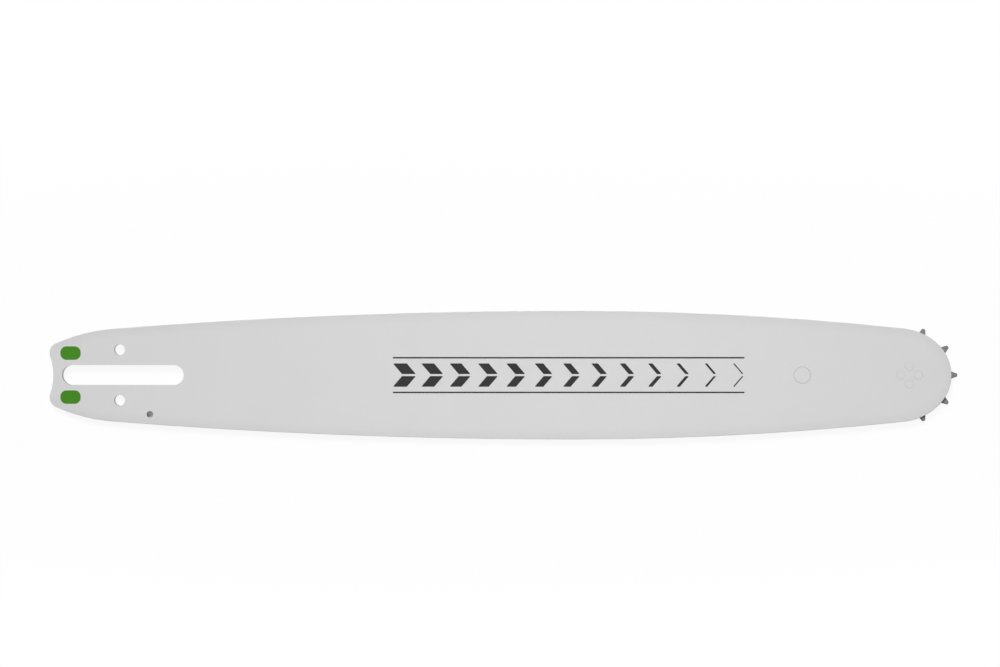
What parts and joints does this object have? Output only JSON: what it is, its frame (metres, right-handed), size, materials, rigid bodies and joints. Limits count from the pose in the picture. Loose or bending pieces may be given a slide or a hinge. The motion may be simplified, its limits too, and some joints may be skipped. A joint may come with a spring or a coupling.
{
  "type": "chainsaw guide bar",
  "caption": "Long flat laminated chainsaw guide bar: a bulged blade with an open chain groove, a stud slot and oil inlets at its notched tail, and a toothed sprocket in its round nose.",
  "frame": {"origin": "centre of the stud slot, on the back face that lies against the saw", "axes": "+X along the bar from the tail to the sprocket nose, +Y across it, +Z out of the front face"},
  "size_m": [0.545, 0.0772, 0.0048],
  "materials": {
    "bar_steel": "pale satin coated steel",
    "core_steel": "plain rolled steel",
    "rivet_steel": "pale satin coated steel",
    "bearing_steel": "ground bearing steel",
    "sprocket_steel": "dark hardened steel"
  },
  "bodies": {
    "bar": {"side_plate_front": "bar_steel", "side_plate_back": "bar_steel", "core_plate": "core_steel", "body_rivet": "rivet_steel", "nose_rivets": "rivet_steel", "bearing_race": "bearing_steel"},
    "sprocket": {"nose_sprocket": "sprocket_steel"},
    "roller_ring": {"roller_01": "bearing_steel", "roller_02": "bearing_steel", "roller_03": "bearing_steel", "roller_04": "bearing_steel", "roller_05": "bearing_steel", "roller_06": "bearing_steel", "roller_07": "bearing_steel", "roller_08": "bearing_steel", "roller_09": "bearing_steel", "roller_10": "bearing_steel", "roller_11": "bearing_steel", "roller_12": "bearing_steel", "roller_13": "bearing_steel", "roller_14": "bearing_steel", "roller_15": "bearing_steel", "roller_16": "bearing_steel", "roller_17": "bearing_steel", "roller_18": "bearing_steel"}
  },
  "joints": [
    {"name": "sprocket_spin", "type": "hinge", "parent": "bar", "child": "sprocket", "pos_m": [0.472, 0, 0.0024], "axis": [0, 0, 1], "continuous": true},
    {"name": "roller_orbit", "type": "hinge", "parent": "bar", "child": "roller_ring", "pos_m": [0.472, 0, 0.0024], "axis": [0, 0, 1], "continuous": true}
  ],
  "couplings": [
    {"joint": "roller_orbit", "follows": "sprocket_spin", "ratio": 0.5864}
  ]
}
